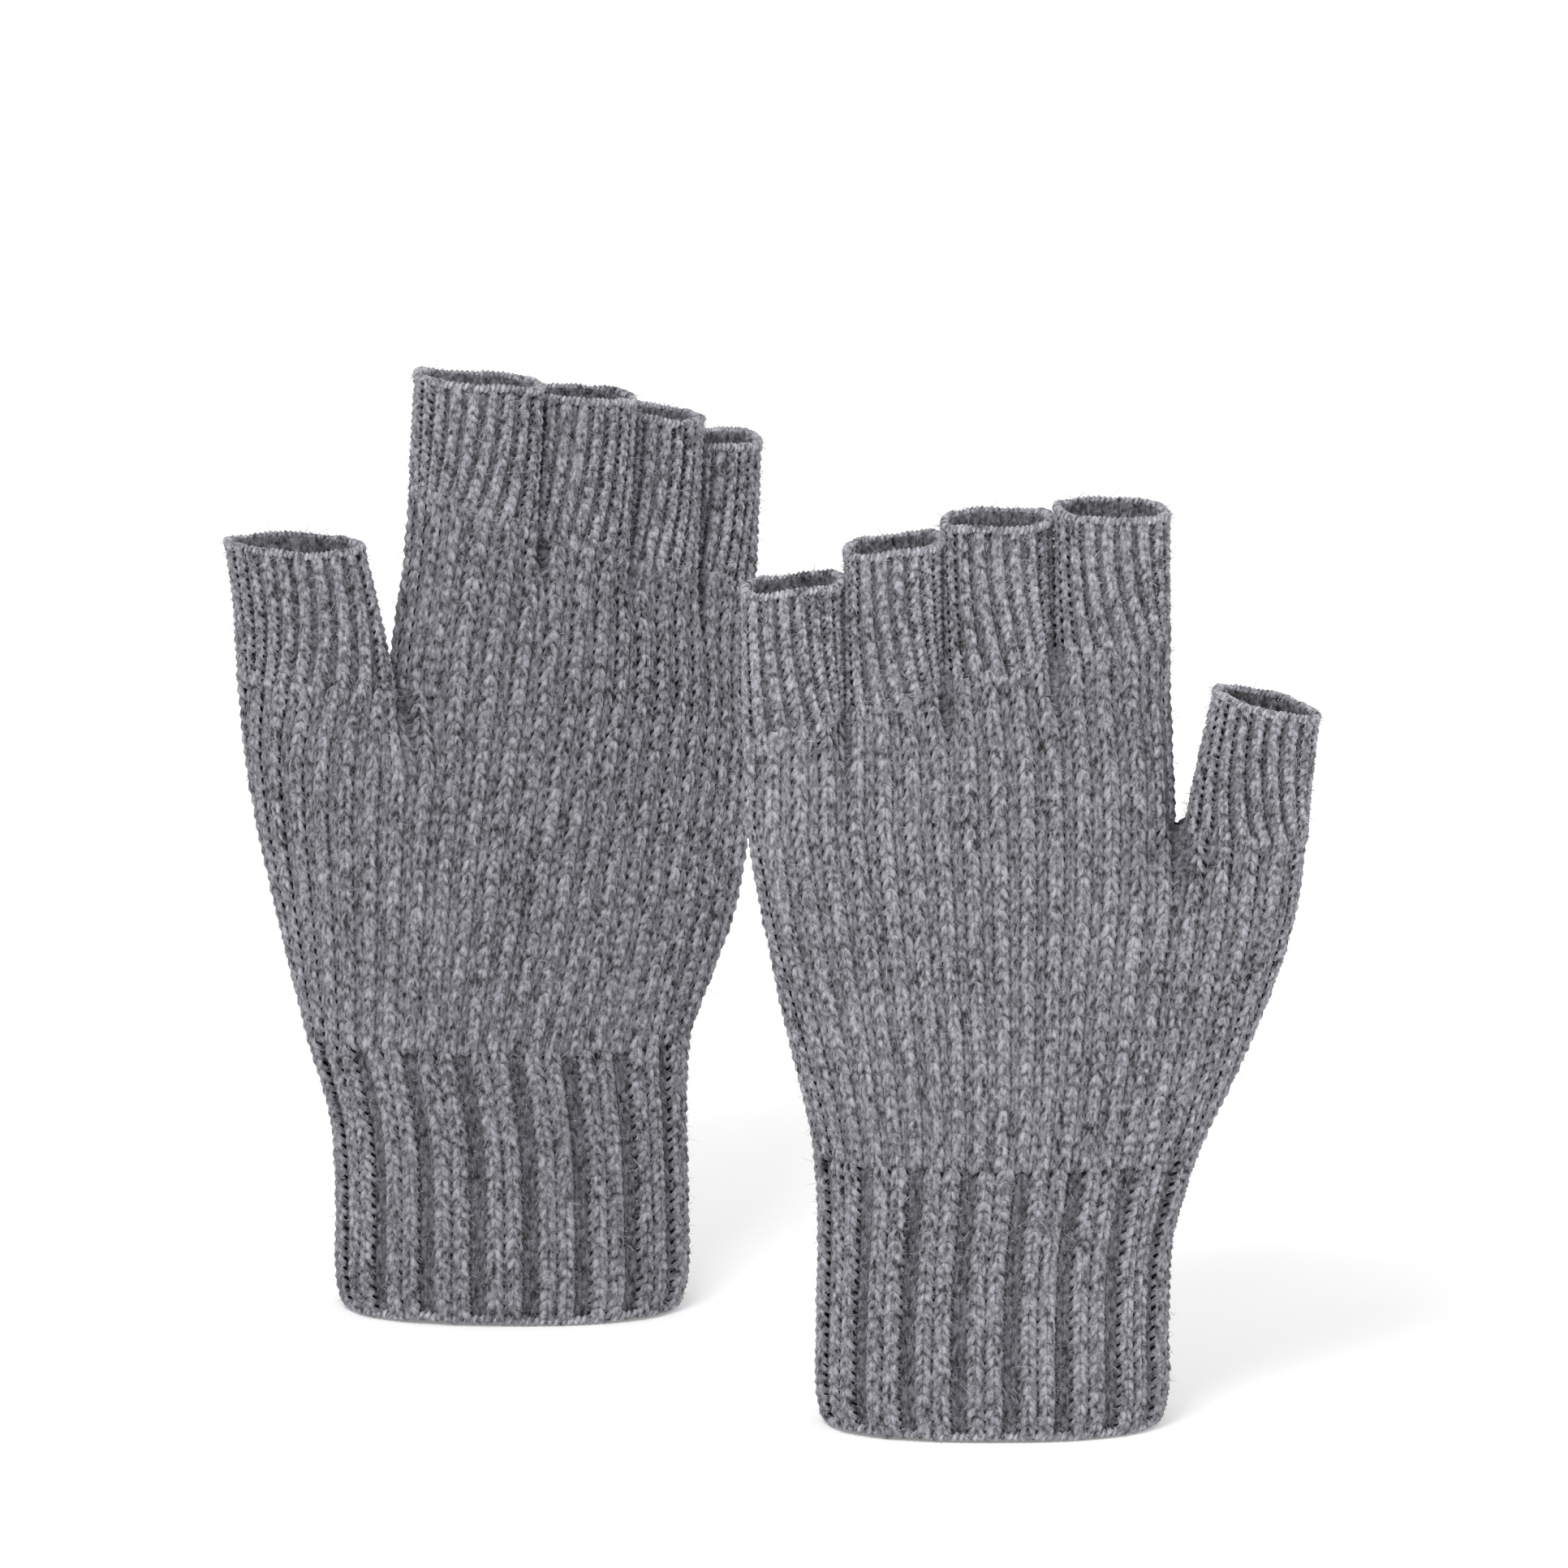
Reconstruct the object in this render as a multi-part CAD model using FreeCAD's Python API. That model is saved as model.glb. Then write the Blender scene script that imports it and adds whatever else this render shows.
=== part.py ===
import FreeCAD, Part
import math
import os

# A pair of half-finger gloves, machine knitted in the round.  Each glove is a string of knitted tubes:
# a 2x2 rib cuff, the lower hand (five fingers wide), the upper hand (four fingers wide), a thumb stall
# and four finger stalls, every opening finished with a bound edge.  Both gloves stand on their open
# cuffs and keep the rounded shape they have when worn.
#
# Units are millimetres and +Z is up.  A glove is first described straight: +X is the thumb side,
# -Y is the palm, Z runs from the wrist opening to the fingertips.  It is then leaned, twisted and set
# down where it stands.

Vector = FreeCAD.Vector

# ---- driving dimensions -------------------------------------------------------------------------
CUFF_WALL = 3.0          # rib is the thickest fabric
HAND_WALL = 2.2
STALL_WALL = 2.0
EDGE_HEIGHT = 3.0        # bound edges of the openings
EDGE_SWELL = 0.35        # how far a bound edge stands proud of its stall
STALL_GAP = 0.4          # clear space below each stall, where it folds
RING_POINTS = 28         # points round one section
ROUND = 2.35             # power of a rounded section: 2 is an ellipse, larger is squarer
SQUARE = 3.6             # power of the section that carries the four finger stalls

CUP_CURVE = 0.0055       # the knuckles lie on an arc, y = -CUP_CURVE * (x - CUP_AXIS)^2
CUP_AXIS = 2.0

CUFF_EDGE_TOP = 4.0
CUFF_TOP = 55.0
THUMB_SPLIT = 122.0      # the thumb stall leaves the hand here
CROTCH_HEIGHT = 151.5    # height of the finger crotches at x = 0
CROTCH_SLOPE = 0.245     # the crotches drop towards the little finger

# Hand sections: height, centre across, half width, half depth, share of the knuckle arc, slope, power.
CUFF_SECTIONS = [
    (0.0, 0.0, 33.4, 22.4, 0.0, 0.0, ROUND),
    (CUFF_EDGE_TOP, 0.0, 34.4, 23.0, 0.0, 0.0, ROUND),
    (20.0, 0.0, 34.8, 22.8, 0.0, 0.0, ROUND),
    (38.0, 0.7, 35.2, 22.0, 0.0, 0.0, ROUND),
    (47.0, 1.8, 36.5, 21.2, 0.05, 0.0, ROUND),
    (CUFF_TOP, 2.8, 38.2, 20.4, 0.12, 0.0, ROUND),
]
LOWER_SECTIONS = [
    (CUFF_TOP, 2.8, 38.2, 20.4, 0.12, 0.0, ROUND),
    (66.0, 4.2, 41.8, 19.2, 0.3, 0.0, ROUND),
    (78.0, 5.4, 45.8, 18.2, 0.5, 0.0, ROUND),
    (92.0, 6.5, 49.8, 17.2, 0.75, 0.0, ROUND),
    (107.0, 7.0, 53.2, 16.3, 0.92, 0.0, 2.6),
    (THUMB_SPLIT, 6.7, 55.4, 15.4, 1.0, 0.0, 3.0),
]
UPPER_SECTIONS = [
    (THUMB_SPLIT, -6.5, 42.6, 15.4, 1.0, 0.0, 2.6),
    (137.0, -6.8, 42.4, 14.2, 1.0, 0.5 * CROTCH_SLOPE, 3.0),
    (CROTCH_HEIGHT, -7.2, 42.2, 11.4, 1.0, CROTCH_SLOPE, SQUARE),
]

# Finger stalls: centre and half width at the base, then at the bound edge, half depths, edge height
# and the slope of the edge.
FINGERS = {
    "index": (23.3, 11.1, 23.6, 11.2, 10.8, 10.2, 183.5, 0.0),
    "middle": (1.2, 10.6, 1.0, 10.4, 10.8, 10.0, 181.0, 0.02),
    "ring": (-19.4, 9.6, -19.6, 9.3, 10.6, 9.6, 176.5, 0.06),
    "little": (-39.4, 10.0, -39.6, 10.0, 10.4, 9.2, 170.0, 0.0),
}

# Thumb stall sections: height at the centre, centre across, centre deep, half width, half depth, slope.
THUMB_SECTIONS = [
    (THUMB_SPLIT + STALL_GAP, 49.9, 0.0, 12.2, 12.0, 0.0),
    (134.0, 51.6, -1.6, 11.6, 11.2, -0.06),
    (146.0, 53.6, -3.6, 10.8, 10.4, -0.14),
]
THUMB_EDGE_TOP = (149.0, 54.1, -4.1, 10.7, 10.3, -0.14)

# Each glove: where its cuff stands, which way it faces, and how the filled hand leans, shifts and
# twists between the cuff and the thumb.  Lean and shift are towards the little finger.
GLOVES = {
    "front": dict(x=43.5, y=-66.3, facing=0.0, twist=0.0, lean=0.0, shift=0.0, finger_lean=1.5),
    "rear": dict(x=-51.2, y=44.3, facing=180.0, twist=33.0, lean=6.0, shift=9.0, finger_lean=-2.0),
}


# ---- geometry helpers ---------------------------------------------------------------------------
def knuckle_arc(x, share):
    """Depth of the middle of the fabric tube at x."""
    return -share * CUP_CURVE * (x - CUP_AXIS) ** 2


def section_wire(glove, height, centre, half_width, half_depth, share, slope, power=ROUND, deep=0.0):
    """One closed section of a knitted tube, carried to where the glove stands."""
    points = []
    for i in range(RING_POINTS):
        angle = 2.0 * math.pi * i / RING_POINTS
        c = math.cos(angle)
        s = math.sin(angle)
        x = centre + half_width * math.copysign(abs(c) ** (2.0 / power), c)
        y = deep + half_depth * math.copysign(abs(s) ** (2.0 / power), s)
        y += knuckle_arc(x, share)
        points.append(standing_point(glove, x, y, height, slope * (x - centre)))
    curve = Part.BSplineCurve()
    curve.interpolate(Points=points, PeriodicFlag=True)
    return Part.Wire([curve.toShape()])


def standing_point(glove, x, y, height, rise=0.0):
    """Carry a point of the straight glove to the glove as it stands."""
    g = GLOVES[glove]
    span = THUMB_SPLIT - CUFF_TOP
    share = min(max((height - CUFF_TOP) / span, 0.0), 1.0)
    lean = -math.radians(g["lean"])
    above = max(height - THUMB_SPLIT, 0.0)
    if lean == 0.0:
        mid_x = 0.0
        mid_z = height
    else:
        radius = span / lean
        mid_x = radius * (1.0 - math.cos(lean * share)) + above * math.sin(lean)
        mid_z = min(height, CUFF_TOP) + radius * math.sin(lean * share) + above * math.cos(lean)
    mid_x -= g["shift"] * math.sin(0.5 * math.pi * share)
    bent = FreeCAD.Placement(Vector(mid_x, 0, mid_z), FreeCAD.Rotation(Vector(0, 1, 0), math.degrees(lean * share)))
    turn = g["facing"] + g["twist"] * share
    stand = FreeCAD.Placement(Vector(g["x"], g["y"], 0), FreeCAD.Rotation(Vector(0, 0, 1), turn))
    return stand.multVec(bent.multVec(Vector(x, y, rise)))


def loft(wires):
    return Part.makeLoft(wires, True, False)


def hand_tube(glove, sections, wall):
    """Open tube through the hand sections."""
    outer = loft([section_wire(glove, *s) for s in sections])
    inner = loft([section_wire(glove, z, c, a - wall, b - wall, k, m, p) for z, c, a, b, k, m, p in sections])
    return outer.cut(inner)


def capped_hand(glove, sections, wall, holes):
    """Tube whose top is closed by a web of fabric, with one opening for each tube that goes on."""
    outer = loft([section_wire(glove, *s) for s in sections])
    hollow = [(z, c, a - wall, b - wall, k, m, p) for z, c, a, b, k, m, p in sections]
    top = hollow[-1]
    hollow[-1] = (top[0] - wall,) + top[1:]
    shape = outer.cut(loft([section_wire(glove, *s) for s in hollow]))
    for z, c, a, b, m, p in holes:
        low = section_wire(glove, z - 2.0 * wall, c, a, b, 1.0, m, p)
        high = section_wire(glove, z + 2.0 * wall, c, a, b, 1.0, m, p)
        shape = shape.cut(loft([low, high]))
    return shape


def stall_tube(glove, sections, wall):
    """Open tube through the sections of a stall or of its bound edge."""
    outer = []
    inner = []
    for z, c, deep, a, b, m in sections:
        outer.append(section_wire(glove, z, c, a, b, 1.0, m, ROUND, deep))
        inner.append(section_wire(glove, z, c, a - wall, b - wall, 1.0, m, ROUND, deep))
    return loft(outer).cut(loft(inner))


def edge_sections(low, high):
    """Three sections of a bound edge, standing a little proud in the middle."""
    middle = tuple(0.5 * (p + q) for p, q in zip(low, high))
    z, c, deep, a, b, m = middle
    return [low, (z, c, deep, a + EDGE_SWELL, b + EDGE_SWELL, m), high]


# ---- parts --------------------------------------------------------------------------------------
def build_glove(glove):
    lean = GLOVES[glove]["finger_lean"]
    parts = {}

    low, high = CUFF_SECTIONS[0], CUFF_SECTIONS[1]
    parts["cuff_edge"] = hand_tube(glove, [low, high], CUFF_WALL)
    parts["cuff"] = hand_tube(glove, CUFF_SECTIONS[1:], CUFF_WALL)

    parts["lower_hand"] = hand_tube(glove, LOWER_SECTIONS, HAND_WALL)

    holes = []
    for base_c, base_a, _, _, base_b, _, _, _ in FINGERS.values():
        z = CROTCH_HEIGHT + CROTCH_SLOPE * (base_c - UPPER_SECTIONS[-1][1])
        holes.append((z, base_c, base_a - STALL_WALL, base_b - STALL_WALL, CROTCH_SLOPE, ROUND))
    parts["upper_hand"] = capped_hand(glove, UPPER_SECTIONS, HAND_WALL, holes)

    edge_low = THUMB_SECTIONS[-1]
    parts["thumb_stall"] = stall_tube(glove, THUMB_SECTIONS, STALL_WALL)
    parts["thumb_edge"] = stall_tube(glove, edge_sections(edge_low, THUMB_EDGE_TOP), STALL_WALL)

    for finger, (base_c, base_a, top_c, top_a, base_b, top_b, top_z, top_m) in FINGERS.items():
        base_z = CROTCH_HEIGHT + CROTCH_SLOPE * (base_c - UPPER_SECTIONS[-1][1]) + STALL_GAP
        base = (base_z, base_c, 0.0, base_a, base_b, CROTCH_SLOPE)
        top = (top_z, top_c, lean, top_a, top_b, top_m)
        share = (top_z - EDGE_HEIGHT - base_z) / (top_z - base_z)
        edge_low = tuple(p + share * (q - p) for p, q in zip(base, top))
        edge_low = edge_low[:5] + (top_m,)
        parts[finger + "_stall"] = stall_tube(glove, [base, edge_low], STALL_WALL)
        parts[finger + "_edge"] = stall_tube(glove, edge_sections(edge_low, top), STALL_WALL)
    return parts


os.makedirs("parts", exist_ok=True)
for glove_name in GLOVES:
    for part_name, solid in build_glove(glove_name).items():
        if solid.ShapeType != "Solid":
            solid = solid.Solids[0]
        solid.exportStep("parts/" + glove_name + "_" + part_name + ".step")
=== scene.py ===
import math

import bpy
import numpy as np
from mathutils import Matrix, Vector


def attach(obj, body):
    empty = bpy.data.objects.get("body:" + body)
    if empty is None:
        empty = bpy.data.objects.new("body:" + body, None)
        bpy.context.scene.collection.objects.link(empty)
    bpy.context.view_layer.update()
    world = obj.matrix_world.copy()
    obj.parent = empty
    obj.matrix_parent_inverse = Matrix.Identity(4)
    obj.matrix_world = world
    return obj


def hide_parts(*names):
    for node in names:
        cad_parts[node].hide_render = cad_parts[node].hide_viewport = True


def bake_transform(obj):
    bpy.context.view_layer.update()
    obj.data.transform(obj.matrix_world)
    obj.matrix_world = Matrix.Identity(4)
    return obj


# A pair of half-finger gloves knitted in heather yarn.  Every course of stitches is a yarn of its own,
# laid round the hand as loops.  Shapes are worked out in millimetres on a straight glove (+X thumb side,
# -Y palm, Z from the wrist up) and then carried to where each glove stands.

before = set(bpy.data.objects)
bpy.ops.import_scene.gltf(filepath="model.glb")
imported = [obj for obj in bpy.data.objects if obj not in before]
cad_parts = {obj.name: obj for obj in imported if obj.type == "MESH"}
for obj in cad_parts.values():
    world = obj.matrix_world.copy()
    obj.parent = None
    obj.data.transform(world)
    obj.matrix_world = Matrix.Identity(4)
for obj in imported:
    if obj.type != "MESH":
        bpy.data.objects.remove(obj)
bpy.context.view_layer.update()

MM = 0.001
ROUND = 2.35                  # power of the rounded tube sections
CUP_CURVE = 0.0055            # the knuckles lie on an arc
CUP_AXIS = 2.0
CUFF_TOP = 55.0
THUMB_SPLIT = 122.0
CROTCH_HEIGHT = 151.5
CROTCH_SLOPE = 0.245
CROTCH_CENTRE = -7.2
RING_SAMPLES = 1200           # points used to measure the way round a section

GLOVES = {
    "front": dict(x=43.5, y=-66.3, facing=0.0, twist=0.0, lean=0.0, shift=0.0, finger_lean=1.5),
    "rear": dict(x=-51.2, y=44.3, facing=180.0, twist=33.0, lean=6.0, shift=9.0, finger_lean=-2.0),
}

# height, centre across, half width, half depth, share of the knuckle arc, power
HAND_TABLE = np.array([
    (0.0, 0.0, 33.4, 22.4, 0.0, ROUND),
    (4.0, 0.0, 34.4, 23.0, 0.0, ROUND),
    (20.0, 0.0, 34.8, 22.8, 0.0, ROUND),
    (38.0, 0.7, 35.2, 22.0, 0.0, ROUND),
    (47.0, 1.8, 36.5, 21.2, 0.05, ROUND),
    (55.0, 2.8, 38.2, 20.4, 0.12, ROUND),
    (66.0, 4.2, 41.8, 19.2, 0.3, ROUND),
    (78.0, 5.4, 45.8, 18.2, 0.5, ROUND),
    (92.0, 6.5, 49.8, 17.2, 0.75, ROUND),
    (107.0, 7.0, 53.2, 16.3, 0.92, 2.5),
    (122.0, 6.7, 55.4, 15.4, 1.0, 2.7),
])

# centre and half width at the base, then at the edge, half depths, edge height, slope of the edge
FINGERS = {
    "index": (23.6, 11.6, 23.5, 11.7, 10.8, 10.2, 184.0, 0.0),
    "middle": (1.2, 11.3, 0.9, 11.3, 10.8, 10.0, 181.5, 0.02),
    "ring": (-19.2, 10.3, -19.3, 10.3, 10.6, 9.6, 177.0, 0.06),
    "little": (-39.0, 10.5, -39.2, 10.5, 10.4, 9.2, 170.5, 0.0),
}
UPPER_BASE = (-6.5, 42.6, 15.4, 2.6)       # centre, half width, half depth, power
THUMB_BASE = (49.9, 12.2, 12.6, ROUND)
# height, centre across, centre deep, half width, half depth, slope
THUMB_TABLE = np.array([
    (121.0, 49.8, 0.0, 12.5, 12.4, 0.0),
    (134.0, 51.6, -1.6, 11.6, 11.2, -0.06),
    (149.0, 54.1, -4.1, 10.7, 10.3, -0.14),
])

# Knit patterns: relative widths and depths (mm below the face) of the wales that repeat, their number,
# stitch height and yarn radius in mm, and how much painted shade darkens a groove per mm of its depth.
RIB = dict(widths=(1.0, 1.0, 0.4, 0.4), depths=(0.0, 0.0, 1.6, 1.6), repeats=18,
           course=2.05, yarn=0.88, groove=0.31)
HAND = dict(widths=(1.0, 0.62), depths=(0.0, 0.7), repeats=46, course=2.35, yarn=0.77, groove=0.27)
STALL = dict(widths=(1.0, 0.5), depths=(0.0, 1.15), repeats=19, course=1.65, yarn=0.69, groove=0.42)
THUMB = dict(widths=(1.0, 0.5), depths=(0.0, 1.15), repeats=20, course=1.65, yarn=0.69, groove=0.42)
THUMB_SIDE = 33.0             # beyond this x the upper hand's wales start at the thumb crotch
THUMB_SIDE_WALES = 10
PINCH_START = 106.0           # from here up the lower hand pinches in between hand and thumb
WEB = 3.0                     # half depth left where the fabric pinches in, in mm
STALL_MERGE = 17.0            # height below the crotches over which the hand takes the stalls' shape
THINNING = 4.2                # the hand gets this much thinner towards the crotches,
THINNING_HEIGHT = 26.0        # over this height
PINCH_LIMIT = 1.25            # a pinched ring stays within this share of the plain one, so its ends close
LOOP_POINTS = 8               # points along one stitch
YARN_SIDES = 4
FACE_DEPTH = 0.9              # yarn centres lie this far below the face of the fabric, in mm
LOOP_REACH = 0.66             # how far a stitch reaches into the next course, as a share of a course
LOOP_LIFT = 0.42              # how far the legs of a stitch rise, as a share of the yarn's radius
UNEVEN = 0.05                 # spread of the knitting's irregularities
STALL_SLANT = (0.07, 0.0)     # the wales of a stall spread from its foot
UPPER_SLANT = (0.0, 0.016)    # and those of the upper hand lead into them at its top

# Depth of the back of the fabric below its face, in mm, and the painted shade that darkens it.
CUFF_LINER = 2.3
HAND_LINER = 1.9
STALL_LINER = 1.8
LINER_COLUMNS = 120
LINER_PAINTED_SHADE = 0.5

# Bound edges, in mm: winding and yarn radius, length along the edge per turn, depth below the face.
CUFF_BOUND = dict(radius=0.5, yarn_radius=0.6, pitch=1.4, drop=1.2)
STALL_BOUND = dict(radius=0.55, yarn_radius=0.5, pitch=1.1, drop=0.9)
BOUND_POINTS = 8              # points along one turn
BOUND_WAVE = 0.6              # waviness of the edge in mm

# Loose fibres: how many on each piece, half width and greatest length in mm.
HAND_FIBRES = 5000
STALL_FIBRES = 2000
EDGE_FIBRES = 400
FIBRE_WIDTH = 0.045
FIBRE_LENGTH = 2.2
FIBRE_SWING = 1.6             # limit of their random leaning and curling

DARK_FIBRES = 66.0            # how far the darkest and lightest fibres lie from a fabric's own grey level
LIGHT_FIBRES = 70.0

HAND_COLUMNS = 720            # columns of the grids that carry the fabric
STALL_COLUMNS = 320
BLEND_HEIGHT = 15.0           # height above a stall's foot, in mm, of the knuckle point worked out for it

# Floor, light and camera, in metres: lights as name, place, size and power.
AREA_LIGHTS = (("key", (-0.45, -1.5, 1.5), 0.7, 23.0), ("fill", (1.4, -0.9, 0.4), 0.8, 5.0))
LIGHTS_AIM = (0.0, 0.0, 0.09)
DAYLIGHT = 0.75
VIEW_WIDTH = 0.309
VIEW_ELEVATION = 12.0
VIEW_AIM = (0.0024, -0.001, 0.1144)
VIEW_DISTANCE = 1.5


def smooth_step(t):
    t = np.clip(t, 0.0, 1.0)
    return t * t * (3.0 - 2.0 * t)


def smooth_row(table, z):
    """Row of the table at height z, on a smooth curve through the rows."""
    keys = table[:, 0]
    slopes = np.gradient(table, keys, axis=0)
    i = int(np.clip(np.searchsorted(keys, z) - 1, 0, len(keys) - 2))
    span = keys[i + 1] - keys[i]
    t = np.clip((z - keys[i]) / span, 0.0, 1.0)
    a = 2 * t**3 - 3 * t**2 + 1
    b = t**3 - 2 * t**2 + t
    c = -2 * t**3 + 3 * t**2
    d = t**3 - t**2
    return a * table[i] + b * span * slopes[i] + c * table[i + 1] + d * span * slopes[i + 1]


def standing(glove, x, y, height, rise):
    """Carry points of the straight glove to where the glove stands, in millimetres."""
    g = GLOVES[glove]
    span = THUMB_SPLIT - CUFF_TOP
    share = np.clip((height - CUFF_TOP) / span, 0.0, 1.0)
    above = np.maximum(height - THUMB_SPLIT, 0.0)
    lean = -math.radians(g["lean"])
    if lean == 0.0:
        mid_x = 0.0 * height
        mid_z = height
    else:
        radius = span / lean
        mid_x = radius * (1.0 - np.cos(lean * share)) + above * math.sin(lean)
        mid_z = np.minimum(height, CUFF_TOP) + radius * np.sin(lean * share) + above * math.cos(lean)
    mid_x = mid_x - g["shift"] * np.sin(0.5 * math.pi * share)
    bend = lean * share
    bent_x = mid_x + x * np.cos(bend) + rise * np.sin(bend)
    bent_z = mid_z - x * np.sin(bend) + rise * np.cos(bend)
    turn = np.radians(g["facing"] + g["twist"] * share)
    out_x = g["x"] + bent_x * np.cos(turn) - y * np.sin(turn)
    out_y = g["y"] + bent_x * np.sin(turn) + y * np.cos(turn)
    return np.stack(np.broadcast_arrays(out_x, out_y, bent_z), axis=-1)


def half_depth(x, centre, half_width, depth, power):
    """Half depth of a rounded tube at x, zero outside it."""
    t = np.clip(np.abs((x - centre) / half_width), 0.0, 1.0)
    return depth * (1.0 - t**power) ** (1.0 / power)


def knuckle_arc(x, share):
    return -share * CUP_CURVE * (x - CUP_AXIS) ** 2


def crotch_plane(x):
    return CROTCH_HEIGHT + CROTCH_SLOPE * (x - CROTCH_CENTRE)


ANGLES = np.linspace(0.0, 2.0 * math.pi, RING_SAMPLES + 1)
COS = np.cos(ANGLES)
SIN = np.sin(ANGLES)


def across(centre, half_width, power):
    return centre + half_width * np.sign(COS) * np.abs(COS) ** (2.0 / power)


def lower_ring(glove, z):
    """Ring of the cuff or lower hand.  Near its top it pinches in between hand and thumb."""
    _, c, a, b, k, p = smooth_row(HAND_TABLE, z)
    x = across(c, a, p)
    plain = half_depth(x, c, a, b, p)
    pinched = np.maximum(half_depth(x, *UPPER_BASE), half_depth(x, *THUMB_BASE))
    pinched = np.minimum(np.maximum(pinched, np.minimum(WEB, plain)), PINCH_LIMIT * plain)
    w = smooth_step((z - PINCH_START) / (THUMB_SPLIT - PINCH_START))
    depth = plain + w * (pinched - plain)
    arc = knuckle_arc(x, k)
    return (standing(glove, x, np.sign(SIN) * depth + arc, z + 0.0 * x, 0.0 * x), x,
            standing(glove, x, np.sign(SIN) * plain + arc, z + 0.0 * x, 0.0 * x))


def upper_ring(glove, z):
    """Ring of the upper hand.  Towards the crotches it follows the four finger stalls."""
    c, a, b, p = UPPER_BASE
    risen = smooth_step((z - THUMB_SPLIT) / 30.0)
    c, a = c - 0.4 * risen, a - 0.5 * risen
    x = across(c, a, p)
    left = crotch_plane(x) - z
    near = smooth_step(1.0 - left / STALL_MERGE)
    thin = b - THINNING * smooth_step(1.0 - left / THINNING_HEIGHT)
    plain = half_depth(x, c, a, 1.0, p + 0.8 * near) * thin
    pinched = 0.0 * x
    for base_c, base_a, _, _, base_b, _, _, _ in FINGERS.values():
        pinched = np.maximum(pinched, half_depth(x, base_c, base_a, base_b, ROUND))
    pinched = np.minimum(np.maximum(pinched, np.minimum(WEB, plain)), PINCH_LIMIT * plain)
    depth = plain + near * (pinched - plain)
    arc = knuckle_arc(x, 1.0)
    return (standing(glove, x, np.sign(SIN) * depth + arc, z + 0.0 * x, 0.0 * x), x,
            standing(glove, x, np.sign(SIN) * plain + arc, z + 0.0 * x, 0.0 * x))


def stall_table(glove, finger):
    """Sections of a stall: height, centre across, centre deep, half width, half depth, slope."""
    if finger == "thumb":
        return THUMB_TABLE
    base_c, base_a, top_c, top_a, base_b, top_b, top_z, top_m = FINGERS[finger]
    base_z = crotch_plane(base_c)
    lean = GLOVES[glove]["finger_lean"]
    low = np.array((base_z, base_c, 0.0, base_a, base_b, CROTCH_SLOPE))
    high = np.array((top_z, top_c, lean, top_a, top_b, top_m))
    rows = [low - (high - low) * 0.11]
    for t in (0.0, 0.3, 0.6, 1.0):
        row = low + t * (high - low)
        row[5] = top_m + (CROTCH_SLOPE - top_m) * (1.0 - t) ** 1.5
        rows.append(row)
    return np.array(rows)


def stall_ring(table):
    def ring(glove, z):
        height, c, deep, a, b, m = smooth_row(table, z)
        x = across(c, a, ROUND)
        y = deep + np.sign(SIN) * half_depth(x, c, a, b, ROUND) + knuckle_arc(x, 1.0)
        places = standing(glove, x, y, height + 0.0 * x, m * (x - c))
        return places, x, places
    return ring


class Fabric:
    """A knitted tube as a grid of places and normals over wales and rows."""

    def __init__(self, glove, ring, low, high, columns):
        self.low = low
        self.high = high
        self.rows = max(int((high - low) / 1.2), 6)
        self.columns = columns
        rings = []
        self.side = []
        for z in np.linspace(low, high, self.rows + 1):
            places, x, measured = ring(glove, z)
            steps = np.linalg.norm(np.diff(measured, axis=0), axis=1)
            way = np.concatenate([[0.0], np.cumsum(steps)])
            wanted = np.linspace(0.0, way[-1], columns + 1)[:-1]
            rings.append(np.stack([np.interp(wanted, way, places[:, k]) for k in range(3)], axis=1))
            self.side.append(np.interp(wanted, way, x))
        self.places = np.array(rings)
        self.side = np.array(self.side)
        round_way = np.roll(self.places, -1, axis=1) - np.roll(self.places, 1, axis=1)
        up_way = np.gradient(self.places, axis=0)
        normals = np.cross(round_way, up_way)
        for _ in range(3):
            normals = normals + np.roll(normals, 1, axis=1) + np.roll(normals, -1, axis=1)
        self.normals = normals / np.linalg.norm(normals, axis=2, keepdims=True)
        self.length = np.linalg.norm(round_way, axis=2).sum(axis=1).mean() * 0.5

    def at(self, turn, z):
        """Places, normals and x of the straight glove at a share of the way round and a height."""
        column = (turn % 1.0) * self.columns
        row = np.clip((z - self.low) / (self.high - self.low), -0.02, 1.02) * self.rows
        i = np.clip(np.floor(row).astype(int), 0, self.rows - 1)
        j = np.floor(column).astype(int) % self.columns
        s = (row - i)[..., None]
        t = (column - np.floor(column))[..., None]
        j2 = (j + 1) % self.columns

        def mix(grid):
            low = grid[i, j] * (1 - t) + grid[i, j2] * t
            high = grid[i + 1, j] * (1 - t) + grid[i + 1, j2] * t
            return low * (1 - s) + high * s

        places = mix(self.places)
        normals = mix(self.normals)
        normals = normals / np.linalg.norm(normals, axis=-1, keepdims=True)
        return places, normals, mix(self.side[..., None])[..., 0]


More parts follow.
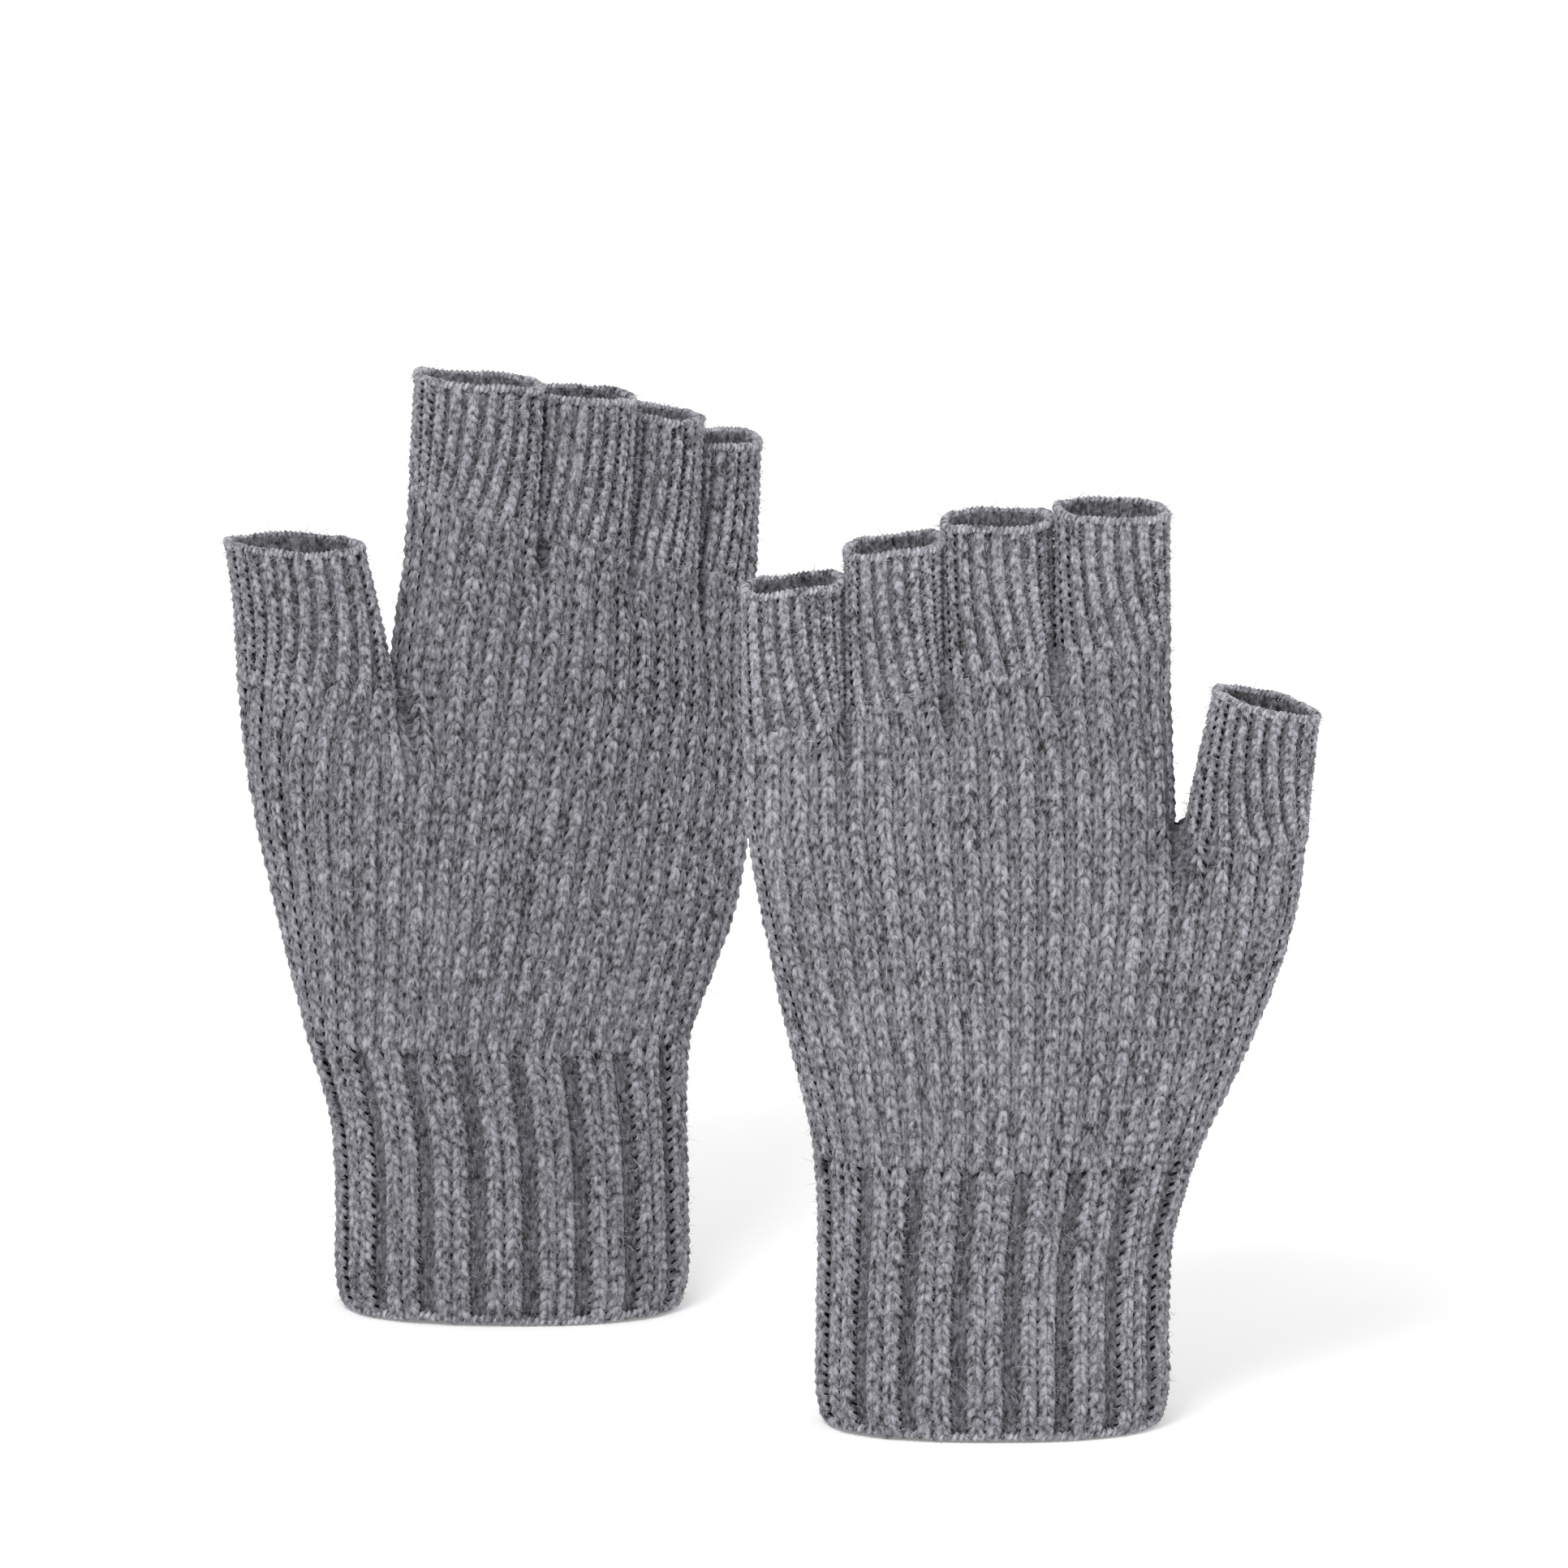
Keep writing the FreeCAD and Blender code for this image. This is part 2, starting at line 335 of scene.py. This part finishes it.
def tube_mesh(centres, normals, radius, closed, flat=1.0):
    """Yarns of shape (yarn, point) as rings of YARN_SIDES corners; returns corners and faces."""
    yarns, points, _ = centres.shape
    if closed:
        along = np.roll(centres, -1, axis=1) - np.roll(centres, 1, axis=1)
    else:
        along = np.gradient(centres, axis=1)
    along = along / np.maximum(np.linalg.norm(along, axis=2, keepdims=True), 1e-9)
    side = np.cross(along, normals)
    side = side / np.maximum(np.linalg.norm(side, axis=2, keepdims=True), 1e-9)
    up = np.cross(side, along)
    turn = np.arange(YARN_SIDES) * 2.0 * math.pi / YARN_SIDES
    radius = np.broadcast_to(radius, (yarns, points))[..., None, None]
    corners = centres[:, :, None, :] + radius * (
        np.cos(turn)[None, None, :, None] * side[:, :, None, :]
        + flat * np.sin(turn)[None, None, :, None] * up[:, :, None, :]
    )
    y = np.arange(yarns)[:, None, None]
    p = np.arange(points if closed else points - 1)[None, :, None]
    s = np.arange(YARN_SIDES)[None, None, :]
    p2 = (p + 1) % points
    s2 = (s + 1) % YARN_SIDES

    def index(a, b):
        return (y * points + a) * YARN_SIDES + b

    faces = np.stack(np.broadcast_arrays(index(p, s), index(p, s2), index(p2, s2), index(p2, s)), axis=-1)
    return corners.reshape(-1, 3), faces


def wales_of(pattern):
    """Widths and depths of the wales round a tube, and the turns at which they meet."""
    widths = np.tile(pattern["widths"], pattern["repeats"])
    depths = np.tile(pattern["depths"], pattern["repeats"])
    return widths, depths, np.concatenate([[0.0], np.cumsum(widths)]) / widths.sum()


def carried_wales(lower, upper):
    """Wales of the upper hand: those of the lower hand run on, and new ones close the thumb side."""
    widths, depths, edges = wales_of(HAND)
    z = np.full(len(edges), THUMB_SPLIT)
    _, _, x = lower.at(edges, z - 0.5)
    run_on = np.nonzero(x < THUMB_SIDE)[0]
    first, last = run_on[0], run_on[-1]
    turns = np.linspace(0.0, 1.0, 2001)[:-1]
    _, _, upper_x = upper.at(turns, np.full(len(turns), THUMB_SPLIT))
    _, _, lower_x = lower.at(turns, np.full(len(turns), THUMB_SPLIT - 0.5))
    reach = (THUMB_SIDE - upper_x.min()) / (THUMB_SIDE - lower_x.min())
    wanted_x = THUMB_SIDE - (THUMB_SIDE - x) * reach
    turning = int(np.argmin(upper_x))
    kept = []
    for k in range(first, last + 1):
        back = edges[k] < edges[int(np.argmin(x))]
        part = slice(0, turning) if back else slice(turning, len(turns))
        kept.append(turns[part][int(np.argmin(np.abs(upper_x[part] - wanted_x[k])))])
    kept = np.maximum.accumulate(np.array(kept) + 1e-6 * np.arange(len(kept)))
    gap = 1.0 - kept[-1] + kept[0]
    fill = kept[-1] + gap * np.arange(1, THUMB_SIDE_WALES + 1) / THUMB_SIDE_WALES
    closing_widths = np.tile(HAND["widths"], THUMB_SIDE_WALES // 2)
    closing_depths = np.tile(HAND["depths"], THUMB_SIDE_WALES // 2)
    return (np.concatenate([widths[first:last], closing_widths]),
            np.concatenate([depths[first:last], closing_depths]), np.concatenate([kept, fill]))


def knit(fabric, pattern, low, high, seed, keep=None, lines=None, slant=(0.0, 0.0)):
    """All the courses of one knitted tube.  slant leans its wales sideways at its foot and its top."""
    rng = np.random.default_rng(seed)
    widths, depths, edges = wales_of(pattern) if lines is None else lines
    wales = len(widths)
    courses = max(int(round((high - low) / pattern["course"])), 2)
    pitch = (high - low) / courses
    stitch = np.arange(wales * LOOP_POINTS) / LOOP_POINTS
    wale = stitch.astype(int)
    s = stitch - wale
    wander = rng.normal(0.0, UNEVEN, (courses, wales))[:, wale]
    swing = s + 0.03 * np.sin(4.0 * math.pi * s) + 0.055 * np.sin(2.0 * math.pi * s)
    turn = edges[wale] + swing * (edges[wale + 1] - edges[wale])
    up = (np.arange(courses)[:, None] + 0.5) / courses
    leaning = slant[0] * (1.0 - up) ** 2 - slant[1] * up**2
    turn = turn[None] - leaning * np.sin(2.0 * math.pi * turn)[None]
    reach = LOOP_REACH * pitch
    rows = low + (np.arange(courses) + 0.5)[:, None] * pitch
    z = rows - reach * np.cos(2.0 * math.pi * s)[None] + wander * pitch
    places, normals, x = fabric.at(turn, z)
    before = depths[wale - 1]
    here = depths[wale]
    after = depths[(wale + 1) % wales]
    dip = here.copy()
    low_side = s < 0.25
    high_side = s > 0.75
    t = s[low_side] * 4.0
    dip[low_side] = (0.5 * (before + here))[low_side] * (1 - t) + here[low_side] * t
    t = (s[high_side] - 0.75) * 4.0
    dip[high_side] = here[high_side] * (1 - t) + (0.5 * (after + here))[high_side] * t
    lift = -LOOP_LIFT * pattern["yarn"] * np.cos(4.0 * math.pi * s) - dip - FACE_DEPTH
    lift = lift[None] + rng.normal(0.0, UNEVEN, (courses, wales))[:, wale]
    centres = places + normals * lift[..., None]
    narrow = np.where(widths[wale] < 0.9, 0.92, 1.0)
    radius = pattern["yarn"] * narrow[None] * (1.0 + 0.06 * rng.normal(size=(courses, wales))[:, wale])
    corners, faces = tube_mesh(centres, normals, radius, True, 0.85)
    if keep is not None:
        kept = keep(x, z)
        faces = faces[kept & np.roll(kept, -1, axis=1)]
    faces = faces.reshape(-1, 4)
    along = np.cumsum(np.linalg.norm(np.diff(centres, axis=1, append=centres[:, :1]), axis=2), axis=1)
    yarn = np.zeros((courses, len(stitch), YARN_SIDES, 3))
    yarn[..., 0] = along[..., None] + 400.0 * rng.random((courses, 1, 1))
    yarn[..., 1] = np.arange(YARN_SIDES)
    yarn[..., 2] = rng.random((courses, 1, 1)) * 50.0
    # Painted shade: the yarn darkens in grooves by the pattern's groove factor per mm of depth, and
    # towards the sides of each loop, lightest at its crown.
    painted_loop_shade = 0.86 + 0.14 * np.cos(2.0 * math.pi * (s - 0.5))
    shade = (1.0 - pattern["groove"] * np.clip(dip, 0.0, 2.0)) * painted_loop_shade
    shade = np.broadcast_to(shade[None, :, None], yarn.shape[:3])
    return corners, faces, yarn.reshape(-1, 3), shade.reshape(-1)


def liner(fabric, low, high, depth, keep=None):
    """The back of the fabric: a plain tube just below the stitches, darkened as painted shade."""
    columns = LINER_COLUMNS
    rows = max(int((high - low) / 2.5), 4)
    turn, z = np.meshgrid(np.arange(columns) / columns, np.linspace(low, high, rows + 1))
    places, normals, x = fabric.at(turn, z)
    corners = (places - normals * depth).reshape(-1, 3)
    i = np.arange(rows)[:, None]
    j = np.arange(columns)[None]
    j2 = (j + 1) % columns
    faces = np.stack(np.broadcast_arrays(i * columns + j, i * columns + j2,
                                         (i + 1) * columns + j2, (i + 1) * columns + j), axis=-1)
    if keep is not None:
        faces = faces[keep(x, z)[:-1]]
    faces = faces.reshape(-1, 4)
    yarn = np.stack([corners[:, 0] * 2.0, corners[:, 2] * 2.0, corners[:, 1]], axis=1)
    return corners, faces, yarn, np.full(len(corners), LINER_PAINTED_SHADE)


def overcast(fabric, z, seed, radius, yarn_radius, pitch, drop):
    """Bound edge: a yarn wound round the end of the fabric."""
    rng = np.random.default_rng(seed)
    turns = int(fabric.length / pitch)
    points = turns * BOUND_POINTS
    turn = np.arange(points) / points
    wind = turn * turns * 2.0 * math.pi
    wave = sum(BOUND_WAVE / k * np.sin(2.0 * math.pi * (k * turn + rng.random())) for k in (3, 5, 8, 13))
    places, normals, _ = fabric.at(turn, np.full(points, z))
    below, _, _ = fabric.at(turn, np.full(points, z - 2.0))
    up = places - below
    up = up / np.linalg.norm(up, axis=1, keepdims=True)
    core = places - normals * drop + up * (wave[:, None] + 0.2)
    size = radius * (1.0 + 0.2 * rng.uniform(-1.0, 1.0, turns)[(turn * turns).astype(int)])
    out = normals * np.cos(wind)[:, None] + up * np.sin(wind)[:, None]
    centres = core + out * size[:, None]
    corners, faces = tube_mesh(centres[None], out[None], yarn_radius, True, 0.9)
    core_corners, core_faces = tube_mesh(core[None], normals[None], radius * 0.95, True)
    yarn = np.zeros((points, YARN_SIDES, 3))
    yarn[..., 0] = np.arange(points)[:, None] * 0.7 + 300.0 * rng.random()
    yarn[..., 1] = np.arange(YARN_SIDES)
    yarn = yarn.reshape(-1, 3)
    faces = faces.reshape(-1, 4)
    core_faces = core_faces.reshape(-1, 4) + len(corners)
    # Painted light and shade: the winding is lightened to 1.08 and the core under it darkened to 0.8.
    shade = np.concatenate([np.full(len(yarn), 1.08), np.full(len(yarn), 0.8)])
    return (np.concatenate([corners, core_corners]), np.concatenate([faces, core_faces]),
            np.concatenate([yarn, yarn + 9.0]), shade)

def fuzz(fabric, low, high, count, seed, keep=None):
    """Fine loose fibres that stand off the yarn, as narrow ribbons."""
    rng = np.random.default_rng(seed)
    turn = rng.random(count)
    z = low + rng.random(count) * (high - low)
    places, normals, x = fabric.at(turn, z)
    if keep is not None:
        kept = keep(x, z)
        places, normals = places[kept], normals[kept]
        count = len(places)
    lean = np.clip(rng.normal(size=(count, 3)), -FIBRE_SWING, FIBRE_SWING)
    lean = lean - (lean * normals).sum(axis=1, keepdims=True) * normals
    curl = np.clip(rng.normal(size=(count, 3)), -FIBRE_SWING, FIBRE_SWING) * 0.8
    size = np.minimum(rng.gamma(2.5, 0.42, count), FIBRE_LENGTH)[:, None]
    steps = []
    for t in (0.0, 0.5, 1.0):
        away = normals * (0.75 * t) + lean * (0.7 * t) + curl * (0.5 * t * t)
        steps.append(places - normals * 0.7 + size * away)
    steps = np.array(steps).transpose(1, 0, 2)
    steps[..., 2] = np.maximum(steps[..., 2], 0.1)      # above the floor
    side = np.cross(lean, normals)
    side = side / np.maximum(np.linalg.norm(side, axis=1, keepdims=True), 1e-6)
    taper = np.array([1.0, 0.8, 0.25]) * FIBRE_WIDTH
    left = steps - side[:, None, :] * taper[None, :, None]
    right = steps + side[:, None, :] * taper[None, :, None]
    corners = np.stack([left, right], axis=2).reshape(-1, 3)
    i = np.arange(count)[:, None] * 6
    k = np.arange(2)[None] * 2
    faces = np.stack([i + k, i + k + 1, i + k + 3, i + k + 2], axis=-1).reshape(-1, 4)
    yarn = np.repeat(rng.random((count, 3)) * 200.0, 6, axis=0)
    shade = np.repeat(rng.uniform(0.85, 1.35, count), 6)
    return corners, faces, yarn, shade


def make_piece(name, parts, material):
    """One mesh object from several sets of corners and faces."""
    offset = 0
    corners, faces, yarns, shades = [], [], [], []
    for c, f, y, s in parts:
        corners.append(c)
        faces.append(f + offset)
        yarns.append(y)
        shades.append(s)
        offset += len(c)
    corners = np.concatenate(corners) * MM
    faces = np.concatenate(faces)
    used = np.zeros(len(corners), bool)
    used[faces.ravel()] = True
    renumber = np.cumsum(used) - 1
    corners = corners[used]
    yarn = np.concatenate(yarns)[used]
    shade = np.concatenate(shades)[used]
    faces = renumber[faces]
    mesh = bpy.data.meshes.new(name)
    mesh.vertices.add(len(corners))
    mesh.vertices.foreach_set("co", corners.astype(np.float32).ravel())
    mesh.loops.add(faces.size)
    mesh.loops.foreach_set("vertex_index", faces.astype(np.int32).ravel())
    mesh.polygons.add(len(faces))
    mesh.polygons.foreach_set("loop_start", np.arange(0, faces.size, 4, dtype=np.int32))
    mesh.polygons.foreach_set("loop_total", np.full(len(faces), 4, np.int32))
    mesh.polygons.foreach_set("use_smooth", np.ones(len(faces), bool))
    mesh.update(calc_edges=True)
    yarn_data = mesh.attributes.new("yarn", "FLOAT_VECTOR", "POINT").data
    yarn_data.foreach_set("vector", yarn.astype(np.float32).ravel())
    # shade holds painted light and shade, and the random tone of loose fibres, which the material
    # multiplies into the colour.
    shade_data = mesh.attributes.new("shade", "FLOAT", "POINT").data
    shade_data.foreach_set("value", shade.astype(np.float32).ravel())
    mesh.materials.append(material)
    piece = bpy.data.objects.new(name, mesh)
    bpy.context.scene.collection.objects.link(piece)
    return piece


def srgb(value):
    value = value / 255.0
    return value / 12.92 if value <= 0.04045 else ((value + 0.055) / 1.055) ** 2.4


def grey(level):
    """Cool heather grey at a display level, slightly violet."""
    return (srgb(level), srgb(level * 0.985), srgb(level * 1.035), 1.0)


def heather(name, level):
    """Marled yarn: light and dark fibres drawn out along the yarn, with slow drifts of tone."""
    material = bpy.data.materials.new(name)
    material.use_nodes = True
    nodes = material.node_tree.nodes
    links = material.node_tree.links
    shader = nodes["Principled BSDF"]
    shader.inputs["Roughness"].default_value = 0.93
    shader.inputs["Specular IOR Level"].default_value = 0.15
    shader.inputs["Sheen Weight"].default_value = 0.22
    shader.inputs["Sheen Roughness"].default_value = 0.5
    place = nodes.new("ShaderNodeTexCoord")
    yarn = nodes.new("ShaderNodeAttribute")
    yarn.attribute_name = "yarn"
    shade = nodes.new("ShaderNodeAttribute")
    shade.attribute_name = "shade"

    def noise(vector, scale, detail, stretch):
        mapping = nodes.new("ShaderNodeMapping")
        mapping.inputs["Scale"].default_value = stretch
        links.new(vector, mapping.inputs["Vector"])
        node = nodes.new("ShaderNodeTexNoise")
        node.inputs["Scale"].default_value = scale
        node.inputs["Detail"].default_value = detail
        node.inputs["Roughness"].default_value = 0.6
        links.new(mapping.outputs["Vector"], node.inputs["Vector"])
        return node.outputs["Fac"]

    def combine(kind, a, b, clamp=False):
        node = nodes.new("ShaderNodeMath")
        node.operation = kind
        node.use_clamp = clamp
        for socket, value in ((node.inputs[0], a), (node.inputs[1], b)):
            if isinstance(value, float):
                socket.default_value = value
            else:
                links.new(value, socket)
        return node.outputs[0]

    fibre = noise(place.outputs["Object"], 900.0, 2.0, (1.0, 1.0, 0.7))
    marl = noise(yarn.outputs["Vector"], 1.0, 3.0, (0.32, 0.9, 1.0))
    drift = noise(place.outputs["Object"], 75.0, 3.0, (1.0, 1.0, 0.6))
    tone = combine("ADD", combine("MULTIPLY", fibre, 0.66), combine("MULTIPLY", marl, 0.44))
    tone = combine("ADD", tone, combine("MULTIPLY", drift, 0.12))
    ramp = nodes.new("ShaderNodeValToRGB")
    ramp.color_ramp.elements[0].position = 0.46
    ramp.color_ramp.elements[0].color = grey(level - DARK_FIBRES)
    ramp.color_ramp.elements[1].position = 0.75
    ramp.color_ramp.elements[1].color = grey(level + LIGHT_FIBRES)
    links.new(tone, ramp.inputs["Fac"])
    # The shade attribute multiplies the colour: painted shade in grooves, at loop sides, on the back of
    # the fabric and the bound edges' cores, painted light on their windings, and the random tone of loose
    # fibres.
    painted_shade_mix = nodes.new("ShaderNodeMix")
    painted_shade_mix.data_type = "RGBA"
    painted_shade_mix.blend_type = "MULTIPLY"
    painted_shade_mix.inputs["Factor"].default_value = 1.0
    links.new(ramp.outputs["Color"], painted_shade_mix.inputs["A"])
    links.new(shade.outputs["Fac"], painted_shade_mix.inputs["B"])
    links.new(painted_shade_mix.outputs["Result"], shader.inputs["Base Color"])
    bump = nodes.new("ShaderNodeBump")
    bump.inputs["Strength"].default_value = 0.5
    bump.inputs["Distance"].default_value = 0.0003
    links.new(combine("ADD", fibre, combine("MULTIPLY", marl, 0.5)), bump.inputs["Height"])
    links.new(bump.outputs["Normal"], shader.inputs["Normal"])
    return material


materials = {
    "rib_knit": heather("rib_knit", 106.0),
    "hand_knit": heather("hand_knit", 108.0),
    "stall_knit": heather("stall_knit", 114.0),
    "bound_edge_knit": heather("bound_edge_knit", 116.0),
}


def place_piece(name, parts, slot, body, nodes):
    """Put a piece in the scene for the CAD nodes it replaces.  A piece given no body is attached to none.
    """
    piece = make_piece(name, parts, materials[slot])
    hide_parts(*nodes)
    if body:
        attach(piece, body)
    return piece


def below_crotch(x, z):
    """Which points of the upper hand lie below the line where the stalls start."""
    return z < crotch_plane(x) + 0.5


def knit_glove(glove, seed):
    """The fourteen knitted pieces of one glove."""
    hand_body = glove + "_hand"
    cuff = Fabric(glove, lower_ring, 0.0, CUFF_TOP + 1.0, HAND_COLUMNS)
    parts = [knit(cuff, RIB, 1.2, CUFF_TOP - 0.6, seed + 1),
             liner(cuff, 0.6, CUFF_TOP + 0.4, CUFF_LINER),
             fuzz(cuff, 1.0, CUFF_TOP, HAND_FIBRES, seed + 2)]
    place_piece(glove + "_cuff_knit", parts, "rib_knit", hand_body, [glove + "_cuff"])
    edge = overcast(cuff, 0.95, seed + 3, **CUFF_BOUND)
    place_piece(glove + "_cuff_edge_chain", [edge], "bound_edge_knit", hand_body, [glove + "_cuff_edge"])

    lower = Fabric(glove, lower_ring, CUFF_TOP - 1.0, THUMB_SPLIT, HAND_COLUMNS)
    parts = [knit(lower, HAND, CUFF_TOP - 0.4, THUMB_SPLIT, seed + 4),
             liner(lower, CUFF_TOP - 0.8, THUMB_SPLIT, HAND_LINER),
             fuzz(lower, CUFF_TOP, THUMB_SPLIT, HAND_FIBRES, seed + 5)]
    place_piece(glove + "_lower_hand_knit", parts, "hand_knit", hand_body, [glove + "_lower_hand"])

    top = crotch_plane(36.0)
    upper = Fabric(glove, upper_ring, THUMB_SPLIT - 2.0, top + 1.0, HAND_COLUMNS)
    lines = carried_wales(lower, upper)
    parts = [knit(upper, HAND, THUMB_SPLIT, top, seed + 6, below_crotch, lines, UPPER_SLANT),
             liner(upper, THUMB_SPLIT - 1.5, top, HAND_LINER, below_crotch),
             fuzz(upper, THUMB_SPLIT, top, HAND_FIBRES, seed + 7, below_crotch)]
    place_piece(glove + "_upper_hand_knit", parts, "hand_knit", hand_body, [glove + "_upper_hand"])

    for k, finger in enumerate(["thumb", "index", "middle", "ring", "little"]):
        table = stall_table(glove, finger)
        low, high = table[0, 0], table[-1, 0]
        stall = Fabric(glove, stall_ring(table), low, high + 0.5, STALL_COLUMNS)
        pattern = THUMB if finger == "thumb" else STALL
        parts = [knit(stall, pattern, low, high - 1.0, seed + 10 + k, slant=STALL_SLANT),
                 liner(stall, low, high - 0.3, STALL_LINER),
                 fuzz(stall, low, high, STALL_FIBRES, seed + 20 + k)]
        name = f"{glove}_{finger}"
        piece = place_piece(name + "_stall_knit", parts, "stall_knit", None, [name + "_stall"])
        _, c, deep, _, _, _ = table[0]
        foot = standing(glove, c, deep + knuckle_arc(c, 1.0), low + 1.0, 0.0)
        knuckle = standing(glove, c, deep + knuckle_arc(c, 1.0), low + BLEND_HEIGHT, 0.0)
        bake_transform(piece)
        edge = overcast(stall, high - 0.6, seed + 30 + k, **STALL_BOUND)
        hairs = fuzz(stall, high - 1.5, high + 0.4, EDGE_FIBRES, seed + 40 + k)
        place_piece(name + "_edge_chain", [edge, hairs], "bound_edge_knit", name, [name + "_edge"])


for number, glove_name in enumerate(GLOVES):
    knit_glove(glove_name, 100 * (number + 1))


# ---- floor, light and camera --------------------------------------------------------------------
def studio():
    """White floor and background, soft light and the camera of the photo's view."""
    scene = bpy.context.scene
    bpy.ops.mesh.primitive_plane_add(size=6.0, location=(0.0, 0.0, 0.0))
    floor = bpy.context.object
    floor.name = "floor"
    paint = bpy.data.materials.new("floor_paint")
    paint.use_nodes = True
    shader = paint.node_tree.nodes["Principled BSDF"]
    shader.inputs["Base Color"].default_value = (0.95, 0.95, 0.95, 1.0)
    shader.inputs["Roughness"].default_value = 0.9
    shader.inputs["Emission Color"].default_value = (1.0, 1.0, 1.0, 1.0)
    shader.inputs["Emission Strength"].default_value = 0.22
    floor.data.materials.append(paint)
    world = bpy.data.worlds.new("studio")
    scene.world = world
    world.use_nodes = True
    background = world.node_tree.nodes["Background"]
    background.inputs["Color"].default_value = (1.0, 1.0, 1.0, 1.0)
    background.inputs["Strength"].default_value = DAYLIGHT
    for name, place, size, power in AREA_LIGHTS:
        data = bpy.data.lights.new(name, "AREA")
        data.size = size
        data.energy = power
        light = bpy.data.objects.new(name, data)
        light.location = place
        inward = Vector(LIGHTS_AIM) - Vector(place)
        light.rotation_euler = inward.to_track_quat("-Z", "Y").to_euler()
        scene.collection.objects.link(light)
    data = bpy.data.cameras.new("camera")
    data.type = "ORTHO"
    data.ortho_scale = VIEW_WIDTH
    camera = bpy.data.objects.new("camera", data)
    elevation = math.radians(VIEW_ELEVATION)
    away = Vector((0.0, -math.cos(elevation), math.sin(elevation)))
    camera.location = Vector(VIEW_AIM) + away * VIEW_DISTANCE
    camera.rotation_euler = (-away).to_track_quat("-Z", "Y").to_euler()
    scene.collection.objects.link(camera)
    scene.camera = camera
    scene.view_settings.view_transform = "Standard"


studio()
